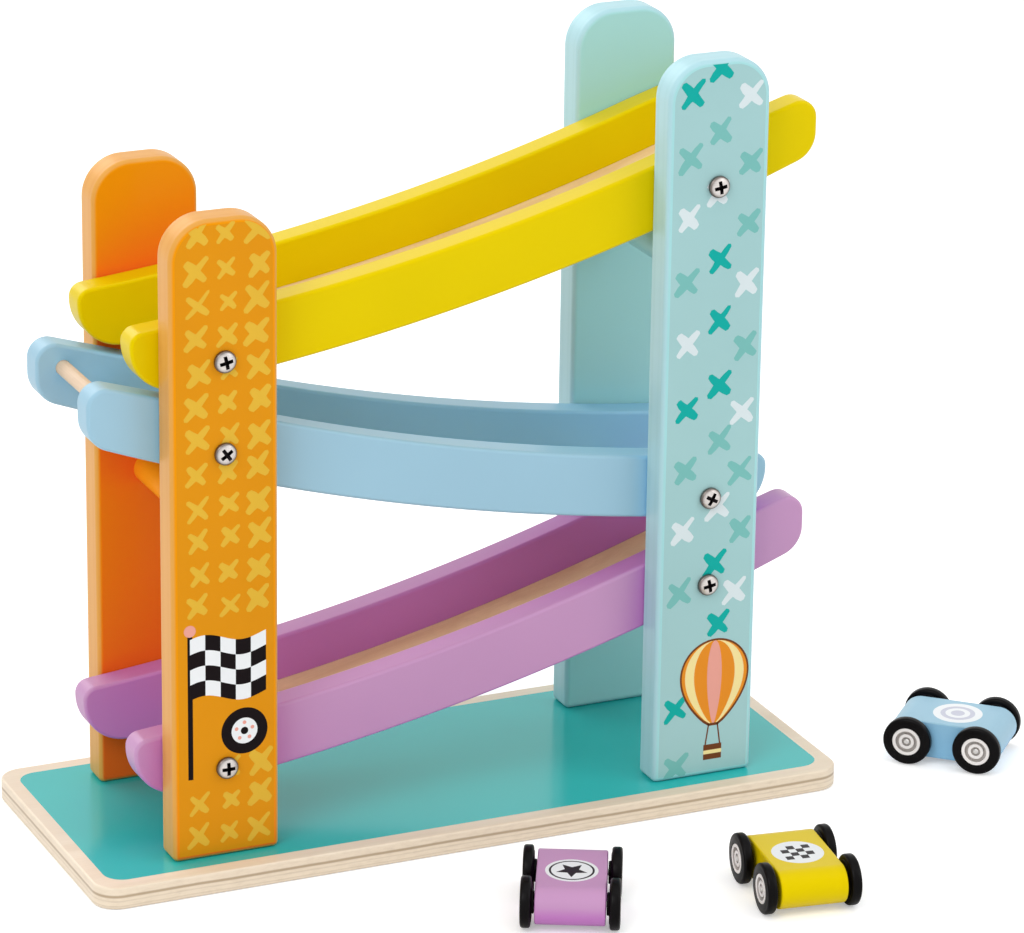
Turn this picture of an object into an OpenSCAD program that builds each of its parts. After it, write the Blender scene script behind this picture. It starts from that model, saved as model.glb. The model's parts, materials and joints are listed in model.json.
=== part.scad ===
// Click clack track toy: three curved tracks between two pairs of posts on a base board,
// and three small double-sided cars that stand in front of it.
// The origin is the centre of the base board's underside, +X runs along the board,
// -Y is the front and +Z is up. All lengths are in millimetres.

/* [Base board] */
// Length of the base board
base_l = 318; // [290:1:400]
// Depth of the base board
base_d = 125.6; // [112:0.1:160]
// Thickness of the base board
base_t = 9; // [7:0.5:18]
// Radius of the base board's corners in plan
base_corner_r = 10; // [2:1:25]

/* [Posts] */
// Width of a post, seen from the front
post_w = 43.4; // [34:0.1:50]
// Thickness of a post
post_t = 14; // [10:0.5:18]
// Distance between the left and the right posts, centre to centre
post_span = 204.4; // [180:0.1:230]
// Radius of the two rounded corners at a post's top
post_crown_r = 16; // [8:1:16]
// Radius of the roundover along a post's edges
post_edge_r = 2; // [0.5:0.25:3]
// How far the left posts stand above the screws of the upper track
left_post_rise = 55.8; // [30:0.1:70]
// How far the right posts stand above the screws of the upper track
right_post_rise = 50.4; // [30:0.1:70]

/* [Tracks] */
// Radius of the arc along which each track runs, at the middle of its rails
track_r = 1000; // [800:10:1400]
// Slope of a track at its middle, in degrees
track_tilt = 12.55; // [9:0.05:14]
// Height of the lower track's middle above the floor
first_track_z = 63.1; // [58:0.1:80]
// Height from one track to the next
track_pitch = 82.3; // [76:0.1:95]
// Clear width between the two rails of a track
channel_w = 46; // [44:0.5:52]
// Thickness of a rail
rail_t = 12; // [10:0.5:15]
// Height of a rail, square to the track
rail_h = 25.5; // [25:0.5:30]
// How far a rail's low end reaches past the middle of the post
low_reach = 32.2; // [28:0.1:38]
// How far a rail's high end reaches past the middle of the post
high_reach = 49.6; // [44:0.1:56]

/* [Rail ends] */
// Radius of the upper corner at the low end
low_top_r = 5.5; // [2:0.5:6]
// Radius of the lower corner at the low end
low_bottom_r = 18; // [6:0.5:18]
// Radius of the upper corner at the high end
high_top_r = 7.5; // [3:0.5:9]
// Radius of the lower corner at the high end
high_bottom_r = 12; // [3:0.5:12]
// How far the top edge, straight from the post to the high end, ends below the arc
high_ease = 3.1; // [2:0.1:4]

/* [Track floors] */
// Thickness of a floor board
floor_t = 3.5; // [2.5:0.25:4]
// Depth of the floor's top face below the rails' top edges
floor_drop = 18.3; // [16:0.1:19]
// Depth of the groove in a rail that holds the floor
groove_d = 4; // [2.5:0.25:5]
// Open gap from the rails' low ends to the floor's low end, where a car drops
drop_gap = 42.1; // [40:0.1:48]
// Distance from the rails' high ends to the floor's high end
floor_high_gap = 23; // [20:0.5:30]

/* [Dowels] */
// Diameter of the dowel that closes a track's high end
stop_d = 6; // [4:0.5:8]
// Distance of that dowel's axis from the rails' high ends
stop_setback = 11; // [9:0.5:12]
// Height of that dowel's axis above the middle of the rails
stop_rise = 2.4; // [0:0.1:4]
// Diameter of the dowels that tie the front posts to the back posts
tie_d = 12; // [8:0.5:14]
// Height of the left tie dowel below the middle track's screws
left_tie_drop = 33.6; // [28:0.1:40]
// Height of the right tie dowel below the upper track's screws
right_tie_drop = 38.3; // [28:0.1:45]
// Depth to which a dowel is let into the wood on each side
dowel_seat = 6; // [3:0.5:7]

/* [Screws] */
// Diameter of a rail screw's pan head
pan_head_d = 8.8; // [6.5:0.1:10]
// Height of a rail screw's pan head
pan_head_h = 2.6; // [1.5:0.1:3.5]
// Diameter of a rail screw's shank
rail_screw_d = 3.5; // [2.5:0.1:4]
// Length of a rail screw inside the rail, tip included
rail_screw_bite = 9; // [6:0.5:9.5]
// Head diameter of the countersunk screws under the base
base_head_d = 8; // [6.5:0.1:9]
// Shank diameter of the screws under the base
base_screw_d = 4; // [3:0.1:4.5]
// Length of a base screw inside a post, tip included
base_screw_bite = 26; // [15:1:35]
// Distance between the two screws under one post
base_screw_pitch = 22; // [16:0.5:26]

/* [Cars] */
// Length of a car's body
car_body_l = 48; // [46:0.5:54]
// Width of a car's body
car_body_w = 27; // [24:0.5:30]
// Height of a car's body, less than the wheels so that it rolls on either side
car_body_h = 15.6; // [12:0.2:17]
// Distance between a car's axles
wheelbase = 29.1; // [26:0.1:32]
// Diameter of a wheel
wheel_d = 20; // [19:0.5:22]
// Width of a wheel at its tread
wheel_w = 4.4; // [3.5:0.1:5]
// Gap between the body's side and a wheel's inner face
wheel_gap = 1.25; // [0.8:0.05:2]
// Diameter of the pale hub set into a wheel
hub_d = 11.7; // [9:0.1:13]
// Diameter of an axle
axle_d = 2.4; // [2:0.1:3]

/* [Where the cars stand] */
// Purple car's place along the base board
purple_car_x = 7.7; // [-40:0.1:30]
// Purple car's distance in front of the base board
purple_car_front = 66.1; // [60:0.1:90]
// Purple car's heading, in degrees from +X
purple_car_heading = -116.4; // [-150:0.1:-60]
// Yellow car's place along the base board
yellow_car_x = 94.6; // [90:0.1:130]
// Yellow car's distance in front of the base board
yellow_car_front = 83.5; // [70:0.1:110]
// Yellow car's heading, in degrees from +X
yellow_car_heading = -98; // [-120:0.1:-60]
// Blue car's distance beyond the base board's right end
blue_car_beside = 58.7; // [55:0.1:90]
// Blue car's place across the base board
blue_car_y = -47.5; // [-70:0.5:0]
// Blue car's heading, in degrees from +X
blue_car_heading = -43.2; // [-60:0.1:0]

/* [Hidden] */
// Clearance of wood and screws in their holes and grooves
wood_fit = 0.1;
// Clearance of an axle that turns in its bore
running_fit = 0.06;
// Clearance of a hub pressed into its wheel and onto its axle
press_fit = 0.02;
// Overrun of every cut past the face that it opens
over = 1;
// Segments of ordinary round shapes and of the long arcs of the tracks
$fn = 64;
track_fn = 1440;

// Places that follow from the driving dimensions
post_x = post_span / 2;
post_inner_y = channel_w / 2 + rail_t;
post_mid_y = post_inner_y + post_t / 2;
post_outer_y = post_inner_y + post_t;
low_end_x = -post_x - low_reach;
high_end_x = post_x + high_reach;
rail_top_r = track_r - rail_h / 2;
rail_bottom_r = track_r + rail_h / 2;
floor_top_r = rail_top_r + floor_drop;
floor_bottom_r = floor_top_r + floor_t;
arc_centre_x = -track_r * sin(track_tilt);
arc_centre_z = track_r * cos(track_tilt);

// Height above a track's middle of the arc of radius r, at x along the track
function arc_z(r, x) = arc_centre_z - sqrt(pow(r, 2) - pow(x - arc_centre_x, 2));
// Height of a track's middle above the floor: 0 is the lower track, 1 the middle and 2 the upper one
function track_z(level) = first_track_z + level * track_pitch;
// The middle track is turned round, so that its high end is on the left
function turned(level) = level == 1;
// Height of the screws of one track at the post on the given side, -1 left and 1 right
function screw_z(level, side) = track_z(level) + arc_z(track_r, turned(level) ? -side * post_x : side * post_x);
levels = [0, 1, 2];
sides = [-1, 1];

// Heights of the posts and of their tie dowels
left_post_top = screw_z(2, -1) + left_post_rise;
right_post_top = screw_z(2, 1) + right_post_rise;
left_tie_z = screw_z(1, -1) - left_tie_drop;
right_tie_z = screw_z(2, 1) - right_tie_drop;

// Proportions of the screws
head_dome_share = 0.8;
tip_share = 1.4;
countersink_h = (base_head_d - base_screw_d) / 2;
head_recess = 0.3;

// Proportions of a wheel and its hub
wheel_edge_share = 0.3;
wheel_r = wheel_d / 2;
wheel_edge_r = wheel_edge_share * wheel_w;
wheel_in_y = car_body_w / 2 + wheel_gap;
wheel_out_y = wheel_in_y + wheel_w;
web_t = 1.2;
boss_d = 9;
boss_gap = 0.3;
hub_rim_share = 0.78;
hub_boss_share = 0.5;
hub_dish = 1;
hub_boss_proud = 0.5;
axle_proud = 0.3;

paint_orange = [0.93, 0.58, 0.12];
paint_mint = [0.62, 0.85, 0.85];
paint_yellow = [0.93, 0.83, 0.05];
paint_blue = [0.62, 0.78, 0.88];
paint_purple = [0.75, 0.56, 0.76];
bare_wood = [0.87, 0.75, 0.58];
plated_steel = [0.75, 0.75, 0.77];
wheel_black = [0.07, 0.06, 0.06];
hub_silver = [0.82, 0.81, 0.8];

// A rectangle about the origin with rounded corners
module rounded_rect(l, w, r) {
  square([l - 2 * r, w], center = true);
  square([l, w - 2 * r], center = true);
  for (sx = sides)
    for (sy = sides)
      translate([sx * (l / 2 - r), sy * (w / 2 - r)])
        circle(r);
}

// Gives a side view, drawn as x and z, its depth along y, starting from y_from
module side_extrude(y_from, depth) {
  translate([0, y_from + depth, 0])
    rotate([90, 0, 0])
      linear_extrude(depth)
        children();
}

// Turns a shape made along +Z so that it points to the front
module pointing_front() {
  rotate([90, 0, 0])
    children();
}

// The front half of the stand as it is, or its mirror image at the back
module on_side(side) {
  if (side > 0)
    mirror([0, 1, 0])
      children();
  else
    children();
}

// Carries a track's own frame to its place in the stand
module in_track(level) {
  translate([0, 0, track_z(level)])
    if (turned(level))
      mirror([1, 0, 0])
        children();
    else
      children();
}

// The band between two arcs of the track, from x_from to x_to, in the track's frame
module arc_band(r_in, r_out, x_from, x_to) {
  translate([arc_centre_x, arc_centre_z])
    intersection() {
      difference() {
        circle(r_out, $fn = track_fn);
        circle(r_in, $fn = track_fn);
      }
      translate([x_from - arc_centre_x, -r_out - over])
        square([x_to - x_from, r_out]);
    }
}

// The straight stretch of a rail's top edge, from the post to the high end
ease_from = [post_x, arc_z(rail_top_r, post_x)];
ease_to = [high_end_x, arc_z(rail_top_r, high_end_x) - high_ease];
ease_along = (ease_to - ease_from) / norm(ease_to - ease_from);

// What is cut from a rail above that stretch
module ease_waste() {
  from = ease_from - over * ease_along;
  to = ease_to + over * ease_along;
  polygon([from, to, to + [0, rail_h], from + [0, rail_h]]);
}

// What is cut from one corner of a rail's end to round it with radius r about the given centre.
// to_edge is the unit vector from there to the edge, end is -1 for the low end and 1 for the high end.
module corner_waste(centre, to_edge, end, r) {
  edge_step = 2 * r * to_edge;
  end_step = [2 * r * end, 0];
  translate(centre)
    difference() {
      polygon([[0, 0], edge_step, edge_step + end_step, end_step]);
      circle(r);
    }
}

// The same for a corner between a rail's end and its arc at the top, edge -1, or at the bottom, edge 1
module arc_corner_waste(end, edge, r) {
  x = (end < 0 ? low_end_x : high_end_x) - end * r;
  from_centre = edge < 0 ? rail_top_r + r : rail_bottom_r - r;
  centre = [x, arc_z(from_centre, x)];
  corner_waste(centre, edge * (centre - [arc_centre_x, arc_centre_z]) / from_centre, end, r);
}

// The same for the corner between the high end and the straight stretch of the top edge
module eased_corner_waste(r) {
  below = (r + r * ease_along[1]) / ease_along[0];
  corner_waste(ease_to - [r, below], [-ease_along[1], ease_along[0]], 1, r);
}

// Outline of a rail from the side
module rail_outline() {
  difference() {
    arc_band(rail_top_r, rail_bottom_r, low_end_x, high_end_x);
    ease_waste();
    arc_corner_waste(-1, -1, low_top_r);
    arc_corner_waste(-1, 1, low_bottom_r);
    eased_corner_waste(high_top_r);
    arc_corner_waste(1, 1, high_bottom_r);
  }
}

// Place of the stop dowel's axis in the track's frame
stop_x = high_end_x - stop_setback;
stop_z = arc_z(track_r, stop_x) + stop_rise;

// A front rail in the track's frame, with its groove, pilot holes and dowel hole
module rail() {
  inner_y = -channel_w / 2;
  bore_l = rail_screw_bite + wood_fit + over;
  difference() {
    side_extrude(-post_inner_y, rail_t)
      rail_outline();
    side_extrude(inner_y - groove_d, groove_d + over)
      arc_band(
        floor_top_r - wood_fit,
        floor_bottom_r + wood_fit,
        low_end_x + drop_gap - wood_fit,
        high_end_x - floor_high_gap + wood_fit
      );
    for (side = sides)
      translate([side * post_x, -post_inner_y - over, arc_z(track_r, side * post_x)])
        rotate([-90, 0, 0])
          cylinder(h = bore_l, d = rail_screw_d + 2 * wood_fit);
    translate([stop_x, inner_y + over, stop_z])
      pointing_front()
        cylinder(h = dowel_seat + over, d = stop_d + 2 * wood_fit);
  }
}

module placed_rail(level, side, paint) {
  color(paint)
    in_track(level)
      on_side(side)
        rail();
}

// A floor board, let into the grooves of both rails
module track_floor(level) {
  board_w = channel_w + 2 * (groove_d - wood_fit);
  color(bare_wood)
    in_track(level)
      side_extrude(-board_w / 2, board_w)
        arc_band(floor_top_r, floor_bottom_r, low_end_x + drop_gap, high_end_x - floor_high_gap);
}

// The dowel across the high end of a track
module stop_dowel(level) {
  stop_l = channel_w + 2 * (dowel_seat - wood_fit);
  color(bare_wood)
    in_track(level)
      translate([stop_x, 0, stop_z])
        pointing_front()
          cylinder(h = stop_l, d = stop_d, center = true);
}

// The dowel that ties a front post to the back post behind it
module tie_dowel(x, z, paint) {
  tie_l = 2 * (post_inner_y + dowel_seat - wood_fit);
  color(paint)
    translate([x, 0, z])
      pointing_front()
        cylinder(h = tie_l, d = tie_d, center = true);
}

// Section across a post's crown, from the centre of its corner outwards
module crown_section() {
  intersection() {
    rounded_rect(2 * post_crown_r, post_t, post_edge_r);
    translate([0, -post_t / 2])
      square([post_crown_r, post_t]);
  }
}

// A post of height h with rounded edges and a rounded crown, standing on its foot
module post_blank(h) {
  crown_flat = post_w - 2 * post_crown_r;
  linear_extrude(h - post_crown_r)
    rounded_rect(post_w, post_t, post_edge_r);
  translate([crown_flat / 2, 0, h - post_crown_r])
    rotate([0, -90, 0])
      linear_extrude(crown_flat)
        crown_section();
  for (turn = [0, 180])
    rotate([0, 0, turn])
      translate([crown_flat / 2, 0, h - post_crown_r])
        rotate([90, 0, 0])
          rotate_extrude(angle = 90)
            crown_section();
}

// A front post in the stand's frame, drilled for its rails, its tie dowel and its base screws
module post(side, top, tie_z) {
  difference() {
    translate([side * post_x, -post_mid_y, base_t])
      post_blank(top - base_t);
    for (level = levels)
      translate([side * post_x, 0, screw_z(level, side)])
        pointing_front()
          cylinder(h = post_outer_y + over, d = rail_screw_d + 2 * wood_fit);
    translate([side * post_x, -post_inner_y + over, tie_z])
      pointing_front()
        cylinder(h = dowel_seat + over, d = tie_d + 2 * wood_fit);
    for (s = sides)
      translate([side * post_x + s * base_screw_pitch / 2, -post_mid_y, base_t - over])
        cylinder(h = base_screw_bite + wood_fit + over, d = base_screw_d + 2 * wood_fit);
  }
}

module placed_post(x_side, y_side, top, tie_z, paint) {
  color(paint)
    on_side(y_side)
      post(x_side, top, tie_z);
}

// Section of a countersunk screw, or of its hole when grown by fit, from its head at z = 0 upwards
module base_screw_section(fit, length) {
  head_r = base_head_d / 2 + fit;
  shank_r = base_screw_d / 2 + fit;
  polygon([
    [0, 0],
    [head_r, 0],
    [shank_r, countersink_h],
    [shank_r, length - tip_share * base_screw_d],
    [0, length]
  ]);
}

// Length of a base screw: through the board and into the post
base_screw_l = base_t - head_recess + base_screw_bite;

// Puts the children at each screw under the base
module each_base_screw() {
  for (side = sides)
    for (y_side = sides)
      for (s = sides)
        translate([side * post_x + s * base_screw_pitch / 2, y_side * post_mid_y, head_recess])
          children();
}

module base_screws() {
  color(plated_steel)
    each_base_screw()
      rotate_extrude()
        base_screw_section(0, base_screw_l);
}

// The board, countersunk from beneath for the screws that hold the posts
module base_board() {
  color(bare_wood)
    difference() {
      linear_extrude(base_t)
        rounded_rect(base_l, base_d, base_corner_r);
      each_base_screw()
        union() {
          rotate_extrude()
            base_screw_section(wood_fit, base_screw_l);
          translate([0, 0, -head_recess - over])
            cylinder(h = head_recess + over, d = base_head_d + 2 * wood_fit);
        }
    }
}

// A pan head wood screw: its head sits on z = 0 and its shank points down
module pan_screw() {
  shank_r = rail_screw_d / 2;
  shank_l = post_t + rail_screw_bite;
  dome_r = head_dome_share * pan_head_d;
  rotate_extrude() {
    intersection() {
      translate([0, pan_head_h - dome_r])
        circle(dome_r);
      square([pan_head_d / 2, pan_head_h]);
    }
    polygon([
      [0, 0],
      [shank_r, 0],
      [shank_r, -shank_l + tip_share * rail_screw_d],
      [0, -shank_l]
    ]);
  }
}

// The six screws that hold three rails to a pair of posts, at the front or the back
module rail_screws(y_side) {
  color(plated_steel)
    on_side(y_side)
      for (level = levels)
        for (side = sides)
          translate([side * post_x, -post_outer_y, screw_z(level, side)])
            pointing_front()
              pan_screw();
}

// Carries a car's own frame, with +X forward, to the place where the car stands
module at_place(place) {
  translate([place[0], place[1], wheel_r])
    rotate([0, 0, place[2]])
      children();
}

purple_place = [purple_car_x, -base_d / 2 - purple_car_front, purple_car_heading];
yellow_place = [yellow_car_x, -base_d / 2 - yellow_car_front, yellow_car_heading];
blue_place = [base_l / 2 + blue_car_beside, blue_car_y, blue_car_heading];

// A car's body: a slab with half round noses and two axle bores
module car_body(place, paint) {
  nose_r = car_body_h / 2;
  color(paint)
    at_place(place)
      side_extrude(-car_body_w / 2, car_body_w)
        difference() {
          union() {
            square([car_body_l - car_body_h, car_body_h], center = true);
            for (s = sides)
              translate([s * (car_body_l / 2 - nose_r), 0])
                circle(nose_r);
          }
          for (s = sides)
            translate([s * wheelbase / 2, 0])
              circle(axle_d / 2 + running_fit);
        }
}

// Puts a wheel set's children at its axle, end is 1 for the front and -1 for the rear
module at_axle(place, end) {
  at_place(place)
    translate([end * wheelbase / 2, 0, 0])
      children();
}

// Puts one wheel's children on both sides of its axle, made along +Z outwards
module both_sides() {
  for (turn = [90, -90])
    rotate([turn, 0, 0])
      children();
}

module axle(place, end) {
  color(plated_steel)
    at_axle(place, end)
      rotate([90, 0, 0])
        cylinder(h = 2 * (wheel_out_y - hub_dish + hub_boss_proud + axle_proud), d = axle_d, center = true);
}

// Section of a black wheel: a tread with rounded shoulders, a web and a boss towards the body
module wheel_section() {
  socket_r = hub_d / 2 + press_fit;
  bore_r = axle_d / 2 + press_fit;
  difference() {
    union() {
      translate([0, wheel_in_y + wheel_w / 2])
        rounded_rect(wheel_d, wheel_w, wheel_edge_r);
      translate([0, car_body_w / 2 + boss_gap])
        square([boss_d / 2, wheel_gap + web_t - boss_gap]);
    }
    translate([0, wheel_in_y + web_t])
      square([socket_r, wheel_w]);
    square([bore_r, wheel_out_y]);
    translate([-wheel_d, 0])
      square([wheel_d, wheel_out_y + over]);
  }
}

module wheels(place, end) {
  color(wheel_black)
    at_axle(place, end)
      both_sides()
        rotate_extrude()
          wheel_section();
}

// Section of a hub: a rim, a dish and a boss round the axle
module hub_section() {
  hub_r = hub_d / 2;
  rim_r = hub_rim_share * hub_r;
  boss_r = hub_boss_share * hub_r;
  back_y = wheel_in_y + web_t + press_fit;
  dish_y = wheel_out_y - hub_dish;
  bore_r = axle_d / 2 + press_fit;
  polygon([
    [bore_r, back_y],
    [hub_r, back_y],
    [hub_r, wheel_out_y],
    [rim_r, wheel_out_y],
    [rim_r, dish_y],
    [boss_r, dish_y],
    [boss_r, dish_y + hub_boss_proud],
    [bore_r, dish_y + hub_boss_proud]
  ]);
}

module hubs(place, end) {
  color(hub_silver)
    at_axle(place, end)
      both_sides()
        rotate_extrude()
          hub_section();
}

base_board();
placed_post(-1, -1, left_post_top, left_tie_z, paint_orange);  // left_front_post
placed_post(-1, 1, left_post_top, left_tie_z, paint_orange);  // left_back_post
placed_post(1, -1, right_post_top, right_tie_z, paint_mint);  // right_front_post
placed_post(1, 1, right_post_top, right_tie_z, paint_mint);  // right_back_post
placed_rail(0, -1, paint_purple);  // lower_front_rail
placed_rail(0, 1, paint_purple);  // lower_back_rail
placed_rail(1, -1, paint_blue);  // middle_front_rail
placed_rail(1, 1, paint_blue);  // middle_back_rail
placed_rail(2, -1, paint_yellow);  // upper_front_rail
placed_rail(2, 1, paint_yellow);  // upper_back_rail
track_floor(0);  // lower_floor
track_floor(1);  // middle_floor
track_floor(2);  // upper_floor
stop_dowel(0);  // lower_stop_dowel
stop_dowel(1);  // middle_stop_dowel
stop_dowel(2);  // upper_stop_dowel
tie_dowel(-post_x, left_tie_z, paint_orange);  // left_tie_dowel
tie_dowel(post_x, right_tie_z, paint_mint);  // right_tie_dowel
rail_screws(-1);  // front_rail_screws
rail_screws(1);  // back_rail_screws
base_screws();
car_body(purple_place, paint_purple);  // purple_car_body
axle(purple_place, 1);  // purple_car_front_axle
axle(purple_place, -1);  // purple_car_rear_axle
wheels(purple_place, 1);  // purple_car_front_wheels
wheels(purple_place, -1);  // purple_car_rear_wheels
hubs(purple_place, 1);  // purple_car_front_hubs
hubs(purple_place, -1);  // purple_car_rear_hubs
car_body(yellow_place, paint_yellow);  // yellow_car_body
axle(yellow_place, 1);  // yellow_car_front_axle
axle(yellow_place, -1);  // yellow_car_rear_axle
wheels(yellow_place, 1);  // yellow_car_front_wheels
wheels(yellow_place, -1);  // yellow_car_rear_wheels
hubs(yellow_place, 1);  // yellow_car_front_hubs
hubs(yellow_place, -1);  // yellow_car_rear_hubs
car_body(blue_place, paint_blue);  // blue_car_body
axle(blue_place, 1);  // blue_car_front_axle
axle(blue_place, -1);  // blue_car_rear_axle
wheels(blue_place, 1);  // blue_car_front_wheels
wheels(blue_place, -1);  // blue_car_rear_wheels
hubs(blue_place, 1);  // blue_car_front_hubs
hubs(blue_place, -1);  // blue_car_rear_hubs
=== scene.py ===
import json
import math
import random

import bmesh
import bpy
from mathutils import Matrix, Vector

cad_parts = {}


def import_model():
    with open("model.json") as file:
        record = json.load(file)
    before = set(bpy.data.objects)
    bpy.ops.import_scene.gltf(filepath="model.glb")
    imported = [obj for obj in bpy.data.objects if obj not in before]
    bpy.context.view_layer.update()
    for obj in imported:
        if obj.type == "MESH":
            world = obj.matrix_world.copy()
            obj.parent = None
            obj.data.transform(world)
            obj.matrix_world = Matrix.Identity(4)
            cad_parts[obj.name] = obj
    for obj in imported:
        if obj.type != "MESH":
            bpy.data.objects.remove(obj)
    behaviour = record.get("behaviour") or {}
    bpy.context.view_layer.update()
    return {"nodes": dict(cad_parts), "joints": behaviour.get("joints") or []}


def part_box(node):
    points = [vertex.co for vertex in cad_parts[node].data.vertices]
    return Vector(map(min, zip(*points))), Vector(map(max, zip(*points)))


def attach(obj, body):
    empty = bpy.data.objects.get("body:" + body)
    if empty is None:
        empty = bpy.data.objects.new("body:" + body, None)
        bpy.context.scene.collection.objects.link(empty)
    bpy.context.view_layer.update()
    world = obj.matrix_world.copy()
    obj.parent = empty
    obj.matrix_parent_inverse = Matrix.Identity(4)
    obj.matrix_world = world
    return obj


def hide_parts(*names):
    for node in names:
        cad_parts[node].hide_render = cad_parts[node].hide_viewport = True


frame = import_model()

MM = 0.001
QUARTER = math.pi / 2
SIDES = (-1, 1)
CORNERS = ((-1, -1), (1, -1), (1, 1), (-1, 1))
LEVELS = ("lower", "middle", "upper")
JOINTS = {j["name"]: j for j in frame["joints"]}

# Sizes of the tracks, as the CAD model has them
TRACK_R = 1000 * MM
TRACK_TILT = math.radians(12.55)
FIRST_TRACK_Z = 63.1 * MM
TRACK_PITCH = 82.3 * MM
RAIL_H = 25.5 * MM
LOW_TOP_R = 5.5 * MM
LOW_BOTTOM_R = 18 * MM
HIGH_TOP_R = 7.5 * MM
HIGH_BOTTOM_R = 12 * MM
HIGH_EASE = 3.1 * MM
FLOOR_T = 3.5 * MM
FLOOR_DEPTH = 18.3 * MM
STOP_R = 3 * MM
STOP_SETBACK = 11 * MM
STOP_RISE = 2.4 * MM
WOOD_FIT = 0.1 * MM

# Roundovers of the wooden pieces
RAIL_EDGE_R = 1.5 * MM
POST_EDGE_R = 2.2 * MM
POST_CROWN_R = 16 * MM
POST_FOOT_R = 2.2 * MM
BASE_EDGE_R = 0.9 * MM
BASE_CORNER_R = 10 * MM
DOWEL_EDGE_R = 0.4 * MM

# Steps of round shapes
BAR_STEPS = 48
THIN_BAR_STEPS = 24
BORE_STEPS = 32
CORNER_STEPS = 10
EDGE_STEPS = 5
FOOT_STEPS = 5
CROWN_STEPS = 18
LONG_ARC_STEPS = 60

SMOOTH_ANGLE = math.radians(32)
# How far a cutter stands out of the piece that it cuts
OVER = 1 * MM

# Places taken from the frame
BASE_LO, BASE_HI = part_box("base_board")
RAIL_LO, RAIL_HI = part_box("lower_front_rail")
LOW_X, HIGH_X = RAIL_LO.x, RAIL_HI.x
RAIL_OUT_Y, RAIL_IN_Y = RAIL_LO.y, RAIL_HI.y
TOP_R = TRACK_R - RAIL_H / 2
BOTTOM_R = TRACK_R + RAIL_H / 2
CENTRE_X = -TRACK_R * math.sin(TRACK_TILT)
CENTRE_Z = TRACK_R * math.cos(TRACK_TILT)
FLOOR_LO, FLOOR_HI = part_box("lower_floor")
FLOOR_TOP_R = TOP_R + FLOOR_DEPTH
POST_LO, POST_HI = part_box("right_back_post")
POST_X = (POST_LO.x + POST_HI.x) / 2
POST_MID_Y = (POST_LO.y + POST_HI.y) / 2
POST_OUT_Y = POST_HI.y


def arc_z(r, x):
    """Height above a track's middle of the arc of radius r, at x along the track."""
    return CENTRE_Z - math.sqrt(r * r - (x - CENTRE_X) ** 2)


def srgb(red, green, blue):
    """A colour given as 0 to 255 in sRGB, as Blender's linear values."""
    return tuple(
        c / 12.92 if c <= 0.04045 else ((c + 0.055) / 1.055) ** 2.4
        for c in (red / 255, green / 255, blue / 255)
    ) + (1.0,)


def shade(colour, factor):
    return tuple(min(1.0, c * factor) for c in colour[:3]) + (1.0,)


# Materials

# How often each noise repeats per metre, along x, y and z
PAINT_CLOUD = (14, 14, 14)
PAINT_FIBRE = (60, 300, 300)
POST_WAVER = (30, 30, 12)
BASE_WAVER = (20, 20, 4)
VENEER_RINGS = (7, 60, 60)
VENEER_FIBRE = (25, 1100, 1100)
PLY_GRAIN = (160, 160, 700)
METAL_SCRATCHES = (400, 400, 2600)
PLASTIC_CLOUD = (60, 60, 60)
PLASTIC_GRAIN = (1500, 1500, 1500)
# The same for bare wood, along the grain and across it
WOOD_RINGS = (8, 90)
WOOD_FIBRE = (30, 1400)

# The middle range, where most of a noise lies
MID = (0.3, 0.7)
# How squarely a face looks to the front, or up, where an edge's look gives way to it
FRONT_FACE = (0.8, 0.97)
TOP_FACE = (0.55, 0.85)
# The darker plies, from one face to the other: low and high share of the thickness, and how dark
BASE_PLIES = ((0.13, 0.18, 0.35), (0.36, 0.41, 0.3), (0.54, 0.66, 1.0))
POST_PLIES = ((0.22, 0.34, 0.35), (0.62, 0.74, 0.25))
BASE_PLY_BLUR, POST_PLY_BLUR = 0.025, 0.04
BASE_PLY_SWING, POST_PLY_SWING = 0.9 * MM, 1.2 * MM
# Painted shade on paint: how far off a neighbour counts, and the open shares at which the painted shade is
# fullest and gone
PAINTED_SHADE_REACH = 130 * MM
PAINTED_SHADE_SHARES = (0.4, 0.7)
PAINTED_SHADE_RAYS = 16


class Wiring:
    """Short calls that wire the nodes of a material or of the world."""

    def __init__(self, owner):
        owner.use_nodes = True
        self.nodes = owner.node_tree.nodes
        self.links = owner.node_tree.links

    def add(self, kind, settings=None, **inputs):
        node = self.nodes.new("ShaderNode" + kind)
        for key, value in (settings or {}).items():
            setattr(node, key, value)
        for key, value in inputs.items():
            self.feed(value, node.inputs[key.replace("_", " ")])
        return node

    def feed(self, value, socket):
        if isinstance(value, bpy.types.NodeSocket):
            self.links.new(value, socket)
        else:
            socket.default_value = value

    def between(self, value, low, high):
        """Stretches the range from low to high to 0 to 1."""
        return self.add("MapRange", Value=value, From_Min=low, From_Max=high).outputs["Result"]

    def spread(self, value, low, high):
        """Stretches 0 to 1 to the range from low to high."""
        return self.add("MapRange", Value=value, To_Min=low, To_Max=high).outputs["Result"]

    def maths(self, operation, a, b=0.0):
        node = self.add("Math", {"operation": operation})
        self.feed(a, node.inputs[0])
        self.feed(b, node.inputs[1])
        return node.outputs[0]


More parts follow.
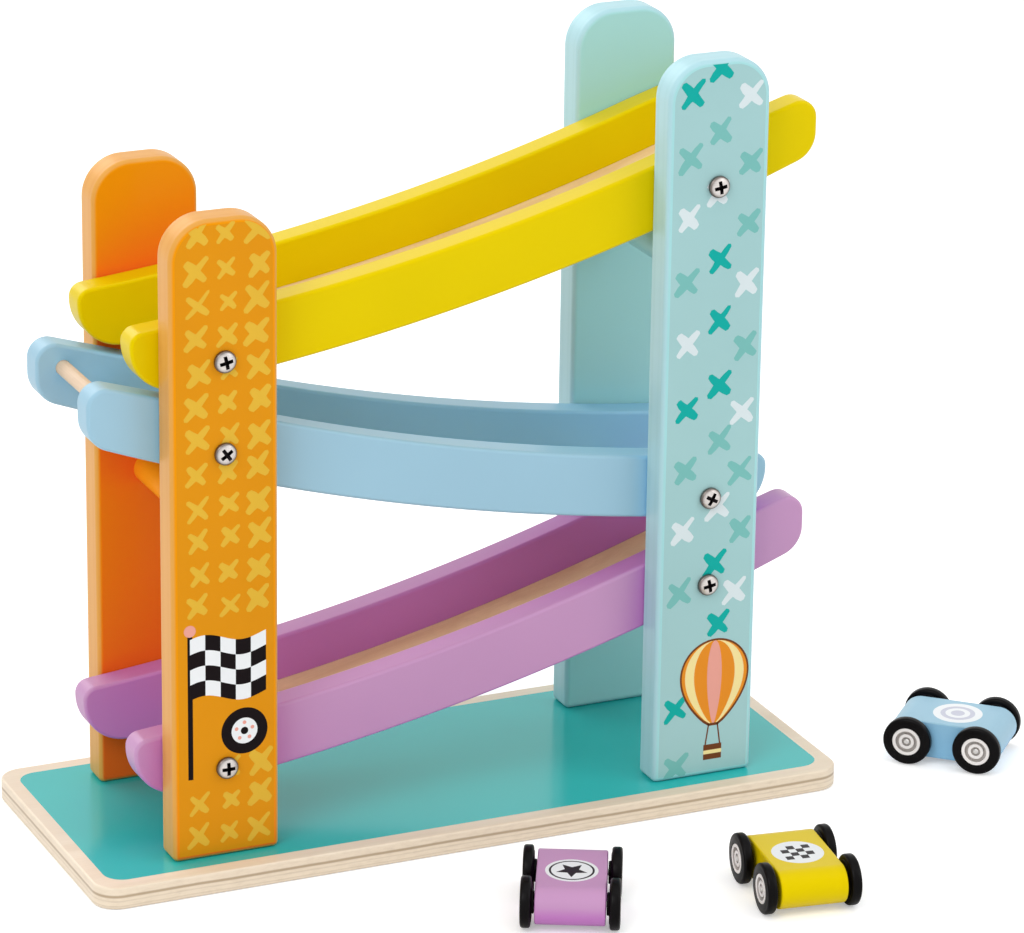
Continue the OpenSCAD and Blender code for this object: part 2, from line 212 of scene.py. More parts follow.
class Look(Wiring):
    def __init__(self, name, **sockets):
        self.material = bpy.data.materials.new(name)
        super().__init__(self.material)
        self.bsdf = self.nodes["Principled BSDF"]
        for socket, value in sockets.items():
            self.feed(value, self.bsdf.inputs[socket.replace("_", " ")])

    def place(self):
        return self.add("TexCoord").outputs["Object"]

    def part(self, vector, axis):
        return self.add("SeparateXYZ", Vector=vector).outputs[axis]

    def noise(self, repeats, detail=3.0, roughness=0.5, distortion=0.0):
        where = self.add("Mapping", Vector=self.place(), Scale=repeats).outputs["Vector"]
        shape = {"Detail": detail, "Roughness": roughness, "Distortion": distortion}
        return self.add("TexNoise", Vector=where, Scale=1.0, **shape).outputs["Fac"]

    def mix(self, share, a, b):
        node = self.add("Mix", {"data_type": "RGBA"})
        self.feed(share, node.inputs["Factor"])
        self.feed(a, node.inputs[6])
        self.feed(b, node.inputs[7])
        return node.outputs[2]

    def bands(self, value, edges, light, dark, soft):
        """Dark bands on a light ground, each from a low to a high share of 0 to 1."""
        ramp = self.add("ValToRGB", Fac=value)
        stops = ramp.color_ramp.elements
        stops[0].color = light
        stops[1].color = light
        for low, high, depth in edges:
            band_colour = tuple(a + (b - a) * depth for a, b in zip(light, dark))
            for at in (low - soft, high + soft):
                stops.new(at).color = light
            for at in (low + soft, high - soft):
                stops.new(at).color = band_colour
        return ramp.outputs["Color"]

    def waver(self, level, repeats, swing):
        """A level that a noise moves up and down over a reach of swing."""
        around = self.maths("SUBTRACT", self.noise(repeats), 0.5)
        return self.maths("ADD", level, self.maths("MULTIPLY", around, swing))

    def facing(self, axis, bounds):
        """1 on what faces along an axis, and 0 on what faces aside."""
        normal = self.add("NewGeometry").outputs["Normal"]
        return self.between(self.maths("ABSOLUTE", self.part(normal, axis)), *bounds)

    def post_edge(self, plies):
        """The plies on a post's edge, in bands between its two faces."""
        level = self.waver(self.maths("ABSOLUTE", self.part(self.place(), "Y")), POST_WAVER, POST_PLY_SWING)
        return self.bands(self.between(level, POST_LO.y, POST_HI.y), POST_PLIES, *plies, POST_PLY_BLUR)

    def bump(self, height, strength, distance):
        node = self.add("Bump", Height=height, Strength=strength, Distance=distance)
        self.links.new(node.outputs["Normal"], self.bsdf.inputs["Normal"])

    def finish(self, colour, roughness):
        self.feed(colour, self.bsdf.inputs["Base Color"])
        self.feed(roughness, self.bsdf.inputs["Roughness"])
        return self.material


def paint_look(name, colour, gloss=0.34, coat=0.05, plies=None, painted_shade=None):
    """Lacquer paint over sanded wood, faintly cloudy and with the wood's fibres under the film.

    plies are its two tones on the edge of a post's plywood.
    The last argument gives painted shade: a darker, fuller tone painted on sides that neighbours hide from
    the light.
    """
    shine = {"Coat_Roughness": 0.1, "Specular_IOR_Level": 0.4, "Specular_Tint": shade(colour, 1.2)}
    look = Look(name, Coat_Weight=coat, **shine)
    cloud = look.noise(PAINT_CLOUD, detail=2.0)
    tone = look.mix(look.between(cloud, *MID), shade(colour, 0.97), shade(colour, 1.03))
    if painted_shade:
        # Painted shade: the tone turns darker and fuller where ambient occlusion finds neighbours close
        occlusion = look.add("AmbientOcclusion", {"samples": PAINTED_SHADE_RAYS}, Distance=PAINTED_SHADE_REACH)
        tone = look.mix(look.between(occlusion.outputs["AO"], *PAINTED_SHADE_SHARES), painted_shade, tone)
    if plies:
        tone = look.mix(look.facing("Y", FRONT_FACE), look.post_edge(plies), tone)
    look.bump(look.noise(PAINT_FIBRE), 0.05, 0.1 * MM)
    return look.finish(tone, look.spread(cloud, gloss - 0.04, gloss + 0.05))


def wood_look(name, light, dark, along):
    """Bare wood with its grain along one axis."""

    def grained(repeats):
        return tuple(repeats[axis != along] for axis in range(3))

    look = Look(name, Specular_IOR_Level=0.35)
    rings = look.noise(grained(WOOD_RINGS), detail=4.0, roughness=0.6, distortion=0.8)
    fibre = look.noise(grained(WOOD_FIBRE), detail=4.0, roughness=0.7)
    body = look.mix(look.between(rings, 0.32, 0.68), light, dark)
    tone = look.mix(look.between(fibre, 0.35, 0.75), body, shade(dark, 0.86))
    look.bump(fibre, 0.12, 0.15 * MM)
    return look.finish(look.mix(0.35, body, tone), look.spread(fibre, 0.42, 0.6))


def plywood_look(name, veneer, veneer_dark, ply, ply_dark):
    """Lacquered plywood: a veneer with long grain on its faces, and plies round its edge."""
    look = Look(name, Coat_Weight=0.2, Coat_Roughness=0.15, Specular_IOR_Level=0.4)
    rings = look.noise(VENEER_RINGS, detail=4.0, roughness=0.6, distortion=1.0)
    fibre = look.noise(VENEER_FIBRE, detail=4.0, roughness=0.7)
    face = look.mix(look.between(rings, *MID), veneer, veneer_dark)
    streak = look.maths("MULTIPLY", look.between(fibre, 0.4, 0.8), 0.3)
    face = look.mix(streak, face, shade(veneer_dark, 0.85))
    level = look.waver(look.part(look.place(), "Z"), BASE_WAVER, BASE_PLY_SWING)
    across = look.between(level, BASE_LO.z, BASE_HI.z)
    stripes = look.bands(across, BASE_PLIES, ply, ply_dark, BASE_PLY_BLUR)
    grain = look.noise(PLY_GRAIN, detail=4.0, roughness=0.7)
    speck = look.maths("MULTIPLY", look.between(grain, 0.45, 0.8), 0.3)
    edge = look.mix(speck, stripes, shade(ply_dark, 0.9))
    look.bump(fibre, 0.06, 0.1 * MM)
    return look.finish(look.mix(look.facing("Z", TOP_FACE), edge, face), look.spread(fibre, 0.3, 0.42))


def metal_look(name, colour, roughness, rim=None):
    """Bright zinc plate with fine scratches. rim is painted shade: a darker tone on a screw head's side."""
    look = Look(name, Metallic=1.0)
    scratch = look.noise(METAL_SCRATCHES)
    look.bump(scratch, 0.05, 0.05 * MM)
    tone = look.mix(look.between(scratch, *MID), shade(colour, 0.9), shade(colour, 1.06))
    # Painted shade on the sides of a screw head
    if rim:
        tone = look.mix(look.facing("Y", FRONT_FACE), rim, tone)
    return look.finish(tone, look.spread(scratch, roughness - 0.05, roughness + 0.1))


def plastic_look(name, colour, roughness, coat=0.0, specular=0.5):
    """Moulded plastic with a fine surface."""
    look = Look(name, Coat_Weight=coat, Coat_Roughness=0.15, Specular_IOR_Level=specular)
    cloud = look.noise(PLASTIC_CLOUD, detail=2.0)
    look.bump(look.noise(PLASTIC_GRAIN, detail=2.0), 0.06, 0.05 * MM)
    tone = look.mix(look.between(cloud, *MID), shade(colour, 0.9), shade(colour, 1.1))
    return look.finish(tone, look.spread(cloud, roughness - 0.04, roughness + 0.06))


def mark(name, *tone):
    return paint_look("print_" + name, srgb(*tone))


ORANGE_PLIES = (srgb(222, 161, 78), srgb(216, 144, 54))
MINT_PLIES = (srgb(174, 213, 221), srgb(162, 205, 210))
# The orange, blue and purple paints carry painted shade on their hidden sides
ORANGE = paint_look("orange_paint", srgb(231, 146, 8), plies=ORANGE_PLIES, painted_shade=srgb(237, 104, 32))
MINT = paint_look("mint_paint", srgb(163, 214, 216), plies=MINT_PLIES)
# Painted light and shade: the tie dowels' paints are a lighter orange and a darker mint than the posts'
# paint
ORANGE_LIT_BAR = paint_look("orange_bar_painted_light", srgb(247, 156, 24))
MINT_SHADED_BAR = paint_look("mint_bar_painted_shade", srgb(150, 204, 208))
ORANGE_GROUND = paint_look("print_ground_orange", srgb(217, 142, 20))
MINT_GROUND = paint_look("print_ground_mint", srgb(160, 199, 200))
YELLOW = paint_look("yellow_paint", srgb(223, 197, 0))
BLUE = paint_look("blue_paint", srgb(154, 192, 211), painted_shade=srgb(142, 197, 232))
PURPLE = paint_look("purple_paint", srgb(193, 147, 188), painted_shade=srgb(193, 123, 193))
TEAL = paint_look("teal_panel_paint", srgb(40, 182, 179), gloss=0.2, coat=0.35)
PLYWOOD = plywood_look(
    "plywood", srgb(238, 224, 202), srgb(227, 208, 182), srgb(235, 219, 196), srgb(184, 162, 134)
)
FLOOR_WOOD = wood_look("floor_wood", srgb(244, 216, 172), srgb(228, 194, 148), along=0)
DOWEL_WOOD = wood_look("dowel_wood", srgb(236, 212, 186), srgb(218, 190, 160), along=1)
STEEL = metal_look("steel", srgb(222, 219, 216), 0.3)
# Its darker side tone is painted shade round the head's rim
SCREW_STEEL_SHADED_RIM = metal_look("screw_steel", srgb(226, 220, 216), 0.34, rim=srgb(120, 112, 108))
# Painted shade: the cross recesses are coloured near black for the shade in them
RECESS_SHADE = metal_look("screw_recess_painted_shade", srgb(40, 36, 38), 0.5)
WHEEL_BLACK = plastic_look("wheel_plastic", srgb(7, 5, 6), 0.3, specular=0.1)
HUB_PALE = plastic_look("hub_plastic", srgb(234, 229, 226), 0.26, coat=0.3)
# Painted shade: a darker tone for the hub's groove and hole
HUB_GROOVE_SHADE = plastic_look("hub_groove_painted_shade", srgb(194, 188, 184), 0.4)
MARK_YELLOW = mark("yellow", 219, 175, 58)
MARK_TEAL = mark("teal", 20, 167, 158)
MARK_MID = mark("mid_teal", 119, 184, 179)
MARK_PALE = mark("pale", 212, 224, 227)
MARK_WHITE = mark("white", 232, 235, 237)
MARK_BLACK = mark("black", 24, 18, 20)
MARK_PINK = mark("pink", 228, 160, 146)
MARK_ORANGE = mark("orange", 226, 140, 40)
MARK_CREAM = mark("cream", 240, 222, 156)
MARK_BROWN = mark("brown", 110, 62, 34)
MARK_GREY = mark("grey", 196, 198, 212)


# Meshes


def new_object(name, data):
    made = bpy.data.objects.new(name, data)
    bpy.context.scene.collection.objects.link(made)
    return made


def solid(mesh, name, materials):
    """Turns a bmesh into an object, smooth but for its sharp edges."""
    bmesh.ops.recalc_face_normals(mesh, faces=mesh.faces)
    data = bpy.data.meshes.new(name)
    mesh.to_mesh(data)
    mesh.free()
    for polygon in data.polygons:
        polygon.use_smooth = True
    data.set_sharp_from_angle(angle=SMOOTH_ANGLE)
    for material in materials:
        data.materials.append(material)
    return new_object(name, data)


def keep(mesh, name, materials, node="", body="root"):
    """Makes a piece that rides on a body and, with a node, stands for that node."""
    piece = solid(mesh, name, materials)
    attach(piece, body)
    if node:
        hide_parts(node)
    return piece


def weigh_normals(piece):
    """Keeps broad flat faces flat next to their roundovers."""
    modifier = piece.modifiers.new("weighted", "WEIGHTED_NORMAL")
    modifier.keep_sharp = True
    modifier.weight = 100


def carve(piece, mesh, materials=()):
    """Cuts what a bmesh fills out of a piece."""
    cutter = solid(mesh, "cutter", materials)
    modifier = piece.modifiers.new("carve", "BOOLEAN")
    modifier.operation = "DIFFERENCE"
    modifier.solver = "EXACT"
    modifier.object = cutter
    bpy.context.view_layer.update()
    made = bpy.data.meshes.new_from_object(piece.evaluated_get(bpy.context.evaluated_depsgraph_get()))
    piece.modifiers.remove(modifier)
    piece.data = made
    made.set_sharp_from_angle(angle=SMOOTH_ANGLE)
    bpy.data.objects.remove(cutter)


def shares(count):
    """The shares from 0 to 1 in even steps."""
    return [i / count for i in range(count + 1)]


def arc_points(centre, r, start, end, count):
    """Points along an arc, anticlockwise from start to end, in radians."""
    while end < start:
        end += 2 * math.pi
    turns = [start + (end - start) * share for share in shares(count)]
    return [(centre[0] + r * math.cos(a), centre[1] + r * math.sin(a)) for a in turns]


def rounded_rect(half_l, half_w, r):
    """A rectangle with rounded corners, anticlockwise."""
    points = []
    for i, (sx, sy) in enumerate(((1, -1), (1, 1), (-1, 1), (-1, -1))):
        start = (i - 1) * QUARTER
        centre = (sx * (half_l - r), sy * (half_w - r))
        points += arc_points(centre, r, start, start + QUARTER, CORNER_STEPS)
    return points


def moved_in(path, inset):
    """A closed anticlockwise outline moved inwards."""
    made = []
    for i, (x, z) in enumerate(path):
        before, after = path[i - 1], path[(i + 1) % len(path)]
        along = Vector((after[0] - before[0], after[1] - before[1])).normalized()
        made.append((x - along.y * inset, z + along.x * inset))
    return made


def edge_section(depth, r):
    """A board's edge from face to face: pairs of inset and depth."""
    turns = [QUARTER * share for share in shares(EDGE_STEPS)]
    first = [(r - r * math.sin(a), r - r * math.cos(a)) for a in turns]
    return first + [(inset, depth - d) for inset, d in reversed(first)]


def band(mesh, low, high):
    """The faces between two closed rings of vertices."""
    return [mesh.faces.new(corners) for corners in zip(low, low[1:] + low[:1], high[1:] + high[:1], high)]


def enclose(mesh, low, high):
    """The faces of a closed solid between two rings of vertices."""
    return [mesh.faces.new(list(reversed(low))), mesh.faces.new(high)] + band(mesh, low, high)


def tint(faces, number):
    """Gives faces another of their piece's materials."""
    for face in faces:
        face.material_index = number


def prism(mesh, path, low, high, put):
    """A plain prism of an outline between two depths. Returns its faces."""
    rings = [[mesh.verts.new(put(u, v, d)) for u, v in path] for d in (low, high)]
    return enclose(mesh, *rings)


def board(mesh, path, depth, r, put, cap=True, cap_material=0):
    """A board with rounded edges. put carries (u, v, depth) to its place. Returns its first ring."""
    section = edge_section(depth, r)
    rings = [[mesh.verts.new(put(u, v, d)) for u, v in moved_in(path, inset)] for inset, d in section]
    for here, after in zip(rings, rings[1:]):
        band(mesh, here, after)
    if cap:
        mesh.faces.new(rings[0]).material_index = cap_material
    mesh.faces.new(list(reversed(rings[-1])))
    return rings[0]


def circle(mesh, r, along, put, count):
    """A ring of vertices about the axis."""
    turns = [2 * math.pi * i / count for i in range(count)]
    return [mesh.verts.new(put(r * math.cos(a), r * math.sin(a), along)) for a in turns]


def lathe(mesh, profile, put, count):
    """A half section (radius, along) turned about the axis, closed at its start. Returns its last ring."""
    rings = [circle(mesh, r, along, put, count) for r, along in profile]
    mesh.faces.new(list(reversed(rings[0])))
    for here, after in zip(rings, rings[1:]):
        band(mesh, here, after)
    return rings[-1]


def cylinder(mesh, r, low, high, put, count=BAR_STEPS, bevel=0.0):
    """A round bar from low to high, with its ends eased by bevel. put carries (x, y, along)."""
    profile = [(r, low), (r, high)]
    if bevel:
        profile = [(r - bevel, low), (r, low + bevel), (r, high - bevel), (r - bevel, high)]
    mesh.faces.new(lathe(mesh, profile, put, count))


def revolve(mesh, profile, put, count, dark=()):
    """A closed section turned about the axis. dark are its stretches with the second material, which on the
    hubs is painted shade.
    """
    rings = [circle(mesh, r, along, put, count) for r, along in profile]
    for i, (here, after) in enumerate(zip(rings, rings[1:] + rings[:1])):
        tint(band(mesh, here, after), int(i in dark))


# The base board

PANEL_MARGIN_X = 6.2 * MM
PANEL_MARGIN_Y = 6.9 * MM
PANEL_CORNER_R = 8 * MM
BASE_SCREW_PITCH = 22 * MM
BASE_SCREW_HEAD_R = 4 * MM
BASE_SCREW_SHANK_R = 2 * MM
BASE_SCREW_RECESS = 0.3 * MM


def base_countersinks():
    """What the heads of the base's screws take away from the board."""
    cutter = bmesh.new()
    sink = BASE_SCREW_HEAD_R - BASE_SCREW_SHANK_R
    top = BASE_SCREW_RECESS + sink
    for x in (side * POST_X + turn * BASE_SCREW_PITCH / 2 for side in SIDES for turn in SIDES):
        for y in (-POST_MID_Y, POST_MID_Y):

            def put(u, v, along):
                return Vector((x + u, y + v, along))

            cylinder(cutter, BASE_SCREW_HEAD_R + WOOD_FIT, -2 * sink, top, put, bevel=sink)
    return cutter


def base_board():
    """Plywood with a painted panel inset on its top face."""
    half_l, half_w = BASE_HI.x, BASE_HI.y
    thick = BASE_HI.z - BASE_LO.z
    path = rounded_rect(half_l, half_w, BASE_CORNER_R)
    mesh = bmesh.new()
    rim = board(mesh, path, thick, BASE_EDGE_R, lambda u, v, d: Vector((u, v, BASE_HI.z - d)), cap=False)
    panel = rounded_rect(half_l - PANEL_MARGIN_X, half_w - PANEL_MARGIN_Y, PANEL_CORNER_R)
    ring = [mesh.verts.new(Vector((x, y, BASE_HI.z))) for x, y in panel]
    band(mesh, rim, ring)
    mesh.faces.new(ring).material_index = 1
    piece = keep(mesh, "base_board_plywood", (PLYWOOD, TEAL), "base_board")
    carve(piece, base_countersinks())
    weigh_normals(piece)


# The posts


def post_outline(lo, hi):
    """A post with this box seen from the front, anticlockwise from its right foot."""
    low, middle, high = lo.z + POST_FOOT_R, (lo.z + hi.z) / 2, hi.z - POST_CROWN_R
    points = arc_points((hi.x - POST_FOOT_R, low), POST_FOOT_R, -QUARTER, 0, FOOT_STEPS)
    points += [(hi.x, middle)]
    points += arc_points((hi.x - POST_CROWN_R, high), POST_CROWN_R, 0, QUARTER, CROWN_STEPS)
    points += arc_points((lo.x + POST_CROWN_R, high), POST_CROWN_R, QUARTER, 2 * QUARTER, CROWN_STEPS)
    points += [(lo.x, middle)]
    return points + arc_points((lo.x + POST_FOOT_R, low), POST_FOOT_R, 2 * QUARTER, 3 * QUARTER, FOOT_STEPS)


def post(name, paint, ground):
    """A post. ground is the finish of its face to the front."""
    lo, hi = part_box(name)
    mesh = bmesh.new()

    def put(u, v, d):
        return Vector((u, lo.y + d, v))

    board(mesh, post_outline(lo, hi), hi.y - lo.y, POST_EDGE_R, put, cap_material=1)
    weigh_normals(keep(mesh, name + "_painted", (paint, ground), name))


# The tracks

# Steps of a rail's corners
LOW_BOTTOM_STEPS = 16
HIGH_STEPS = 12
LOW_TOP_STEPS = 10


def rail_corner(end, edge, r, steps):
    """A rail's rounded corner, anticlockwise. end is -1 at the low end, and edge is -1 on top."""
    end_x = (LOW_X if end < 0 else HIGH_X) - CENTRE_X
    reach = TOP_R + r if edge < 0 else BOTTOM_R - r
    x = end_x - end * r
    z = -math.sqrt(reach * reach - x * x)
    turns = (math.atan2(edge * z, edge * x), 0.0 if end > 0 else math.pi)
    start, stop = reversed(turns) if edge > end else turns
    return arc_points((CENTRE_X + x, CENTRE_Z + z), r, start, stop, steps)


def eased_corner(ease_from, r, steps):
    """The high end's upper corner, under the straight stretch that starts at ease_from."""
    end_z = arc_z(TOP_R, HIGH_X) - HIGH_EASE
    slope = math.atan2(end_z - ease_from[1], HIGH_X - ease_from[0])
    below = (r + r * math.sin(slope)) / math.cos(slope)
    return arc_points((HIGH_X - r, end_z - below), r, 0.0, slope + QUARTER, steps)


def edge_run(r, start, end):
    """A rail's long edge between two points at the same radius."""
    a = math.atan2(start[0] - CENTRE_X, CENTRE_Z - start[1])
    b = math.atan2(end[0] - CENTRE_X, CENTRE_Z - end[1])
    turns = [a + (b - a) * share for share in shares(LONG_ARC_STEPS)[1:-1]]
    return [(CENTRE_X + r * math.sin(t), CENTRE_Z - r * math.cos(t)) for t in turns]


def rail_outline():
    """A rail in its track's frame, anticlockwise from its low end."""
    ease_from = (POST_X, arc_z(TOP_R, POST_X))
    low_bottom = rail_corner(-1, 1, LOW_BOTTOM_R, LOW_BOTTOM_STEPS)
    high_bottom = rail_corner(1, 1, HIGH_BOTTOM_R, HIGH_STEPS)
    high_top = eased_corner(ease_from, HIGH_TOP_R, HIGH_STEPS)
    low_top = rail_corner(-1, -1, LOW_TOP_R, LOW_TOP_STEPS)
    under = edge_run(BOTTOM_R, low_bottom[-1], high_bottom[0])
    over = edge_run(TOP_R, ease_from, low_top[0])
    return low_bottom + under + high_bottom + high_top + [ease_from] + over + low_top


def strip_outline(r_in, r_out, x_from, x_to):
    """The strip between two arcs of a track, anticlockwise."""
    xs = [x_from + (x_to - x_from) * share for share in shares(LONG_ARC_STEPS)]
    return [(x, arc_z(r_out, x)) for x in xs] + [(x, arc_z(r_in, x)) for x in reversed(xs)]


def track_place(level):
    """Turn and lift of one track: the middle one runs the other way."""
    turn = -1 if level == 1 else 1
    return turn, FIRST_TRACK_Z + level * TRACK_PITCH


def rail(level, side, paint):
    """A rail, with the floor's groove and the stop dowel's hole in its inner face."""
    turn, lift = track_place(level)
    thick = RAIL_IN_Y - RAIL_OUT_Y
    name = LEVELS[level] + ("_front_rail" if side < 0 else "_back_rail")

    def put(u, v, d):
        return Vector((turn * u, side * (-RAIL_OUT_Y - d), lift + v))

    def put_hole(x, y, along):
        stop_x = HIGH_X - STOP_SETBACK
        return put(stop_x + x, arc_z(TRACK_R, stop_x) + STOP_RISE + y, along)

    mesh = bmesh.new()
    board(mesh, rail_outline(), thick, RAIL_EDGE_R, put)
    piece = keep(mesh, name + "_painted", (paint,), name)
    cutter = bmesh.new()
    groove_top, groove_bottom = FLOOR_TOP_R - WOOD_FIT, FLOOR_TOP_R + FLOOR_T + WOOD_FIT
    groove = strip_outline(groove_top, groove_bottom, FLOOR_LO.x - WOOD_FIT, FLOOR_HI.x + WOOD_FIT)
    groove_depth = FLOOR_HI.y + RAIL_IN_Y + WOOD_FIT
    prism(cutter, groove, thick - groove_depth, thick + OVER, put)
    hole_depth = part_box("lower_stop_dowel")[1].y + RAIL_IN_Y + WOOD_FIT
    cylinder(cutter, STOP_R + WOOD_FIT, thick - hole_depth, thick + OVER, put_hole)
    carve(piece, cutter)
    weigh_normals(piece)


def track_floor(level):
    turn, lift = track_place(level)
    name = LEVELS[level] + "_floor"
    path = strip_outline(FLOOR_TOP_R, FLOOR_TOP_R + FLOOR_T, FLOOR_LO.x, FLOOR_HI.x)
    mesh = bmesh.new()
    prism(mesh, path, FLOOR_LO.y, FLOOR_HI.y, lambda u, v, d: Vector((turn * u, d, lift + v)))
    keep(mesh, name + "_board", (FLOOR_WOOD,), name)


def dowel(name, material):
    """A round bar across the stand in place of its CAD node."""
    lo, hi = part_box(name)
    centre = (lo + hi) / 2
    mesh = bmesh.new()

    def put(x, y, along):
        return Vector((centre.x + x, along, centre.z + y))

    cylinder(mesh, (hi.z - lo.z) / 2, lo.y, hi.y, put, bevel=DOWEL_EDGE_R)
    keep(mesh, name + "_bar", (material,), name)


# The screws

SCREW_R = 4.4 * MM
SCREW_H = 2.6 * MM
SCREW_SHANK = 20 * MM
SCREW_SHANK_SHARE = 0.4
SCREW_STEPS = 40
# A pan head's underside and rim, as shares of its radius and height
SCREW_FOOT_SHARES = (0.94, 0.1)
SCREW_RIM_SHARE = 0.42
SCREW_CROWN_STEPS = 8
SCREW_CROWN_POWER = 0.8
# The gap that parts a head from its shank
SHANK_GAP = 0.05 * MM
# The recess at its floor and above the crown: height as a share of the head's, then half
# length and half width as shares of its radius
RECESS_SHARES = ((0.2, 0.3, 0.09), (1.3, 0.78, 0.2))
SCREW_SEEDS = {-1: 31, 1: 47}


def pan_profile():
    """Half section of a pan head up to near the middle of its crown: (radius, height)."""
    rim = SCREW_RIM_SHARE * SCREW_H
    foot_share, ease_share = SCREW_FOOT_SHARES
    points = [(foot_share * SCREW_R, 0), (SCREW_R, ease_share * SCREW_H), (SCREW_R, rim)]
    for a in (QUARTER * share for share in shares(SCREW_CROWN_STEPS)[1:-1]):
        points.append((SCREW_R * math.cos(a) ** SCREW_CROWN_POWER, rim + (SCREW_H - rim) * math.sin(a)))
    return points


def screw_head(mesh, put):
    rim = lathe(mesh, pan_profile(), put, SCREW_STEPS)
    crown = mesh.verts.new(put(0, 0, SCREW_H))
    for here, after in zip(rim, rim[1:] + rim[:1]):
        mesh.faces.new((here, after, crown))


def recess_wing(mesh, put, turn):
    """One tapered wing of a cross recess. Its faces take the second material, which is painted shade."""
    along = Vector((math.cos(turn), math.sin(turn)))
    across = Vector((-along.y, along.x))
    rings = []
    for height, length, width in RECESS_SHARES:
        points = [SCREW_R * (along * (length * sx) + across * (width * sy)) for sx, sy in CORNERS]
        rings.append([mesh.verts.new(put(p.x, p.y, height * SCREW_H)) for p in points])
    tint(enclose(mesh, *rings), 1)


def rail_screws(side):
    """Six pan head screws in the front or the back posts, one at each end of each rail."""
    name = ("front" if side < 0 else "back") + "_rail_screws"
    rng = random.Random(SCREW_SEEDS[side])
    mesh = bmesh.new()
    cutters = (bmesh.new(), bmesh.new())
    for level in range(len(LEVELS)):
        way, lift = track_place(level)
        for x_side in SIDES:
            x = x_side * POST_X
            z = lift + arc_z(TRACK_R, way * x)

            def put(u, v, d):
                return Vector((x + u, side * (POST_OUT_Y + d), z + v))

            screw_head(mesh, put)
            cylinder(mesh, SCREW_SHANK_SHARE * SCREW_R, -SCREW_SHANK, -SHANK_GAP, put, THIN_BAR_STEPS)
            turn = rng.uniform(0, QUARTER)
            recess_wing(cutters[0], put, turn)
            recess_wing(cutters[1], put, turn + QUARTER)
    finishes = (SCREW_STEEL_SHADED_RIM, RECESS_SHADE)
    piece = keep(mesh, name + "_pan_head", finishes, name)
    for cutter in cutters:
        carve(piece, cutter, finishes)


def base_screws():
    """The screws under the base keep their CAD shape."""
    node = frame["nodes"]["base_screws"]
    node.data.materials.clear()
    node.data.materials.append(STEEL)


# The print on the front posts

FILM_SUNK = -0.02 * MM
FILM_RISE = 0.03 * MM
FILM_LAYER = 0.02 * MM
# Points that lie closer than this are one
FILM_NEAR = 0.02 * MM
DISC_STEPS = 40
# How far in from a post's edge its print ends, as a share of its roundover
FENCE_SHARE = 0.7


def clipped(path, fence):
    """The part of an outline inside a convex anticlockwise fence."""
    for i, a in enumerate(fence):
        b = fence[(i + 1) % len(fence)]
        edge = (b[0] - a[0], b[1] - a[1])
        inside = [edge[0] * (p[1] - a[1]) - edge[1] * (p[0] - a[0]) for p in path]
        kept = []
        for j, p in enumerate(path):
            q, sp, sq = path[j - 1], inside[j], inside[j - 1]
            if (sp >= 0) != (sq >= 0):
                t = sq / (sq - sp)
                kept.append((q[0] + (p[0] - q[0]) * t, q[1] + (p[1] - q[1]) * t))
            if sp >= 0:
                kept.append(p)
        path = kept
        if not path:
            return []
    return path


class Print:
    """Flat printed shapes, each a thin film."""

    def __init__(self, put, fence=None):
        self.mesh = bmesh.new()
        self.put = put
        self.fence = fence
        self.materials = []

    def film(self, path, material, layer=0):
        """One shape. A higher layer lies on top of a lower one."""
        if self.fence:
            path = clipped(path, self.fence)
        tidy = [p for i, p in enumerate(path) if math.dist(p, path[i - 1]) > FILM_NEAR]
        if len(tidy) < 3:
            return
        if material not in self.materials:
            self.materials.append(material)
        faces = prism(self.mesh, tidy, FILM_SUNK, FILM_RISE + FILM_LAYER * layer, self.put)
        tint(faces, self.materials.index(material))

    def box(self, x_from, x_to, z_from, z_to, material, layer):
        self.film([(x_from, z_from), (x_to, z_from), (x_to, z_to), (x_from, z_to)], material, layer)

    def disc(self, x, z, r, material, layer=0):
        whole = 2 * math.pi * (1 - 1 / DISC_STEPS)
        self.film(arc_points((x, z), r, 0, whole, DISC_STEPS - 1), material, layer)

    def keep(self, name, slot, body="root"):
        keep(self.mesh, name, self.materials, body=body)


# A brushed cross: each arm's direction in degrees, and its length and thickness as shares
ARM_SHARES = ((50, 1.12, 0.85), (137, 0.92, 1.15), (229, 1.08, 1.0), (318, 0.92, 1.15))
ARM_REACH_SHARE = 0.625
ARM_TURN = 5
ARM_LENGTHS = (0.93, 1.05)
ARM_WIDTHS = (0.85, 1.15)
# An arm's outline: how far out and how far aside, as shares of its length and half width
ARM_WAIST, ARM_WAIST_WIDTHS = 0.55, (0.8, 1.0)
ARM_SHOULDERS = ((0.92, -0.72), (0.93, 0.66))
ARM_TIPS, ARM_TIP_ASIDE = (0.98, 1.04), 0.1


def cross_outline(x, z, size, width, rng):
    """A brushed cross: four tapering arms with blunt tips."""
    arms = []
    for angle, length_share, thick_share in ARM_SHARES:
        a = math.radians(angle + rng.uniform(-ARM_TURN, ARM_TURN))
        length = size * ARM_REACH_SHARE * length_share * rng.uniform(*ARM_LENGTHS)
        half = width / 2 * thick_share * rng.uniform(*ARM_WIDTHS)
        arms.append((Vector((math.cos(a), math.sin(a))), length, half))
    points = []
    for i, (out, length, half) in enumerate(arms):
        before_out, _, before_half = arms[i - 1]
        sine = before_out.x * out.y - before_out.y * out.x
        aside = Vector((-out.y, out.x)) * half
        waist = out * (length * ARM_WAIST)
        right, left = (out * (length * along) + aside * across for along, across in ARM_SHOULDERS)
        points.append((before_out * half + out * before_half) / sine)
        points += [waist - aside * rng.uniform(*ARM_WAIST_WIDTHS), right]
        points.append(out * length * rng.uniform(*ARM_TIPS) - aside * ARM_TIP_ASIDE)
        points += [left, waist + aside * rng.uniform(*ARM_WAIST_WIDTHS)]
    return [(x + p.x, z + p.y) for p in points]


